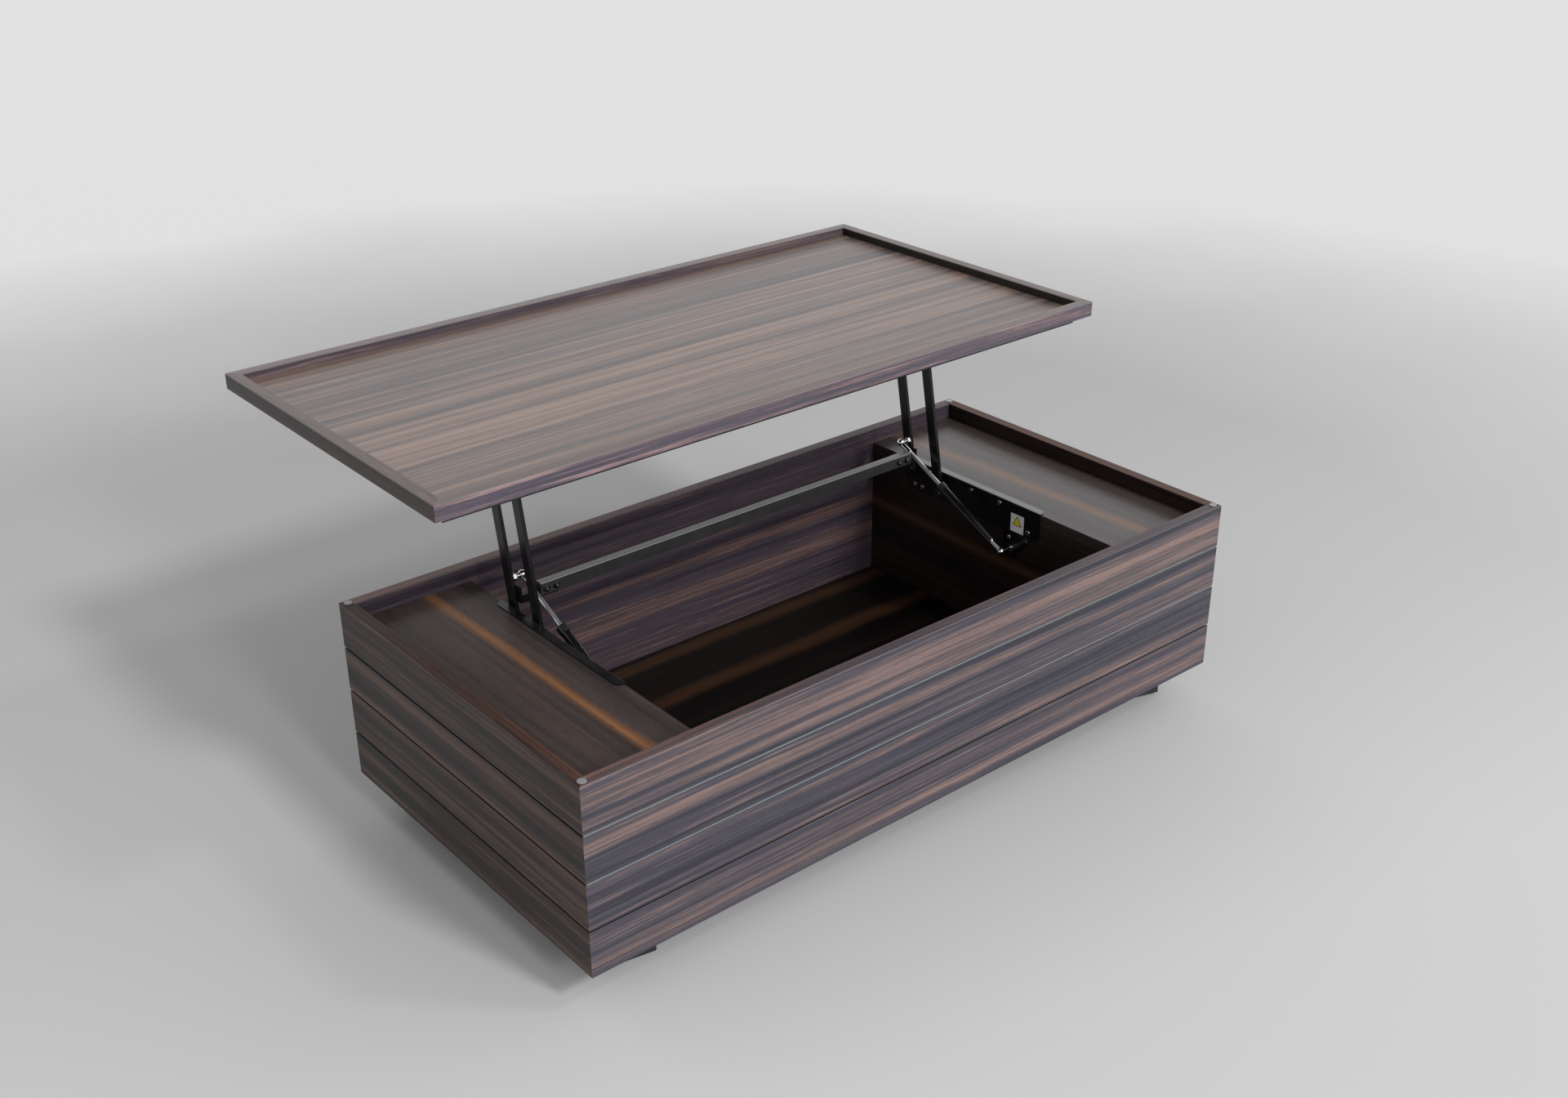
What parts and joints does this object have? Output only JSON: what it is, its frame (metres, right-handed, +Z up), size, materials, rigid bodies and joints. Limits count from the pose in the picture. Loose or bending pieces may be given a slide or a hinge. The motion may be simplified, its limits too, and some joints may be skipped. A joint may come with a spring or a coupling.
{
  "type": "lift top coffee table",
  "caption": "Low rectangular storage coffee table with dark streaked wood veneer and a tray top that lifts and comes forward on steel arms with gas springs.",
  "frame": {"origin": "on the floor, under the middle of the table's outline with the top raised", "axes": "+X along the long side, +Z up, +Y from the plain long side towards the long side that the raised top overhangs"},
  "size_m": [1.2, 0.8886, 0.5954],
  "materials": {
    "wood_box": "satin macassar ebony veneer, streaks along the board",
    "wood_inside": "satin dark veneer, soft orange-brown bands",
    "wood_tray": "satin macassar ebony veneer, even stripes",
    "wood_rim": "satin macassar ebony veneer",
    "wood_lid_underside": "satin dark veneer",
    "plain_wood": "plain sawn softwood",
    "foot_black": "matt black block",
    "felt": "black felt",
    "zinc": "zinc plated",
    "clear_bumper": "clear soft plastic",
    "black_steel": "gloss black powder coat",
    "black_fastener": "black zinc",
    "black_plastic": "satin black plastic",
    "cylinder_paint": "gloss black paint",
    "rod_steel": "polished rod",
    "chrome_fitting": "bright plated",
    "label": "white vinyl sticker"
  },
  "bodies": {
    "carcass": {"back_panel": "wood_box", "base_bracket_left": "black_steel", "base_bracket_right": "black_steel", "base_pivot_pins": "black_fastener", "bracket_screws": "zinc", "corner_blocks": "plain_wood", "divider_dowels": "plain_wood", "divider_left": "wood_inside", "divider_right": "wood_inside", "floor_panel": "wood_inside", "foot_back_left": "foot_black", "foot_back_right": "foot_black", "foot_bolts": "zinc", "foot_front_left": "foot_black", "foot_front_right": "foot_black", "foot_pads": "felt", "front_panel": "wood_box", "rim_bumpers": "clear_bumper", "safety_label": "label", "shelf_cleats": "plain_wood", "shelf_left": "wood_inside", "shelf_right": "wood_inside", "side_panel_left": "wood_box", "side_panel_right": "wood_box"},
    "rear_arms": {"bar_bracket_left": "black_steel", "bar_bracket_right": "black_steel", "bar_end_caps": "black_plastic", "cross_bar": "black_steel", "cross_bar_bolts": "black_fastener", "rear_arm_left": "black_steel", "rear_arm_right": "black_steel", "upper_ball_studs": "chrome_fitting"},
    "lid": {"lid_back_rim": "wood_rim", "lid_front_rim": "wood_rim", "lid_panel": "wood_tray", "lid_rim_left": "wood_rim", "lid_rim_right": "wood_rim", "lid_under_panel": "wood_lid_underside", "upper_bracket_left": "black_steel", "upper_bracket_right": "black_steel", "upper_bracket_screws": "zinc", "upper_pivot_pins": "black_fastener"},
    "front_arm_left": {"front_arm_left": "black_steel"},
    "front_arm_right": {"front_arm_right": "black_steel"},
    "gas_rod_left": {"gas_rod_left": "rod_steel", "rod_socket_left": "chrome_fitting"},
    "gas_rod_right": {"gas_rod_right": "rod_steel", "rod_socket_right": "chrome_fitting"},
    "gas_cylinder_left": {"cylinder_collar_left": "black_plastic", "cylinder_socket_left": "chrome_fitting", "gas_cylinder_left": "cylinder_paint", "lower_ball_stud_left": "chrome_fitting"},
    "gas_cylinder_right": {"cylinder_collar_right": "black_plastic", "cylinder_socket_right": "chrome_fitting", "gas_cylinder_right": "cylinder_paint", "lower_ball_stud_right": "chrome_fitting"}
  },
  "joints": [
    {"name": "lift", "type": "hinge", "parent": "carcass", "child": "rear_arms", "pos_m": [0, 0.03375, 0.301], "axis": [1, 0, 0], "range_deg": [0, 99], "stiffness_Nm_per_rad": 10, "springref_deg": -28.65},
    {"name": "lid_level", "type": "hinge", "parent": "rear_arms", "child": "lid", "pos_m": [0, 0.07823, 0.54101], "axis": [1, 0, 0], "range_deg": [-99, 0]},
    {"name": "front_arm_pivot_left", "type": "hinge", "parent": "carcass", "child": "front_arm_left", "pos_m": [-0.391, -0.03325, 0.277], "axis": [1, 0, 0], "range_deg": [0, 99]},
    {"name": "gas_spring_swing_left", "type": "hinge", "parent": "rear_arms", "child": "gas_rod_left", "pos_m": [-0.371, 0.03991, 0.35071], "axis": [1, 0, 0], "range_deg": [-105.62, 0]},
    {"name": "gas_spring_stroke_left", "type": "slide", "parent": "gas_rod_left", "child": "gas_cylinder_left", "axis": [0, 0.9017, 0.4323], "range_m": [0, 0.07166]},
    {"name": "front_arm_pivot_right", "type": "hinge", "parent": "carcass", "child": "front_arm_right", "pos_m": [0.391, -0.03325, 0.277], "axis": [1, 0, 0], "range_deg": [0, 99]},
    {"name": "gas_spring_swing_right", "type": "hinge", "parent": "rear_arms", "child": "gas_rod_right", "pos_m": [0.371, 0.03991, 0.35071], "axis": [1, 0, 0], "range_deg": [-105.62, 0]},
    {"name": "gas_spring_stroke_right", "type": "slide", "parent": "gas_rod_right", "child": "gas_cylinder_right", "axis": [0, 0.9017, 0.4323], "range_m": [0, 0.07166]}
  ],
  "couplings": [
    {"joint": "lid_level", "follows": "lift", "ratio": -1},
    {"joint": "front_arm_pivot_left", "follows": "lift", "ratio": 1},
    {"joint": "gas_spring_swing_left", "follows": "lift", "ratio": -1.0668},
    {"joint": "gas_spring_stroke_left", "follows": "lift", "m_per_rad": 0.041465},
    {"joint": "front_arm_pivot_right", "follows": "lift", "ratio": 1},
    {"joint": "gas_spring_swing_right", "follows": "lift", "ratio": -1.0668},
    {"joint": "gas_spring_stroke_right", "follows": "lift", "m_per_rad": 0.041465}
  ]
}
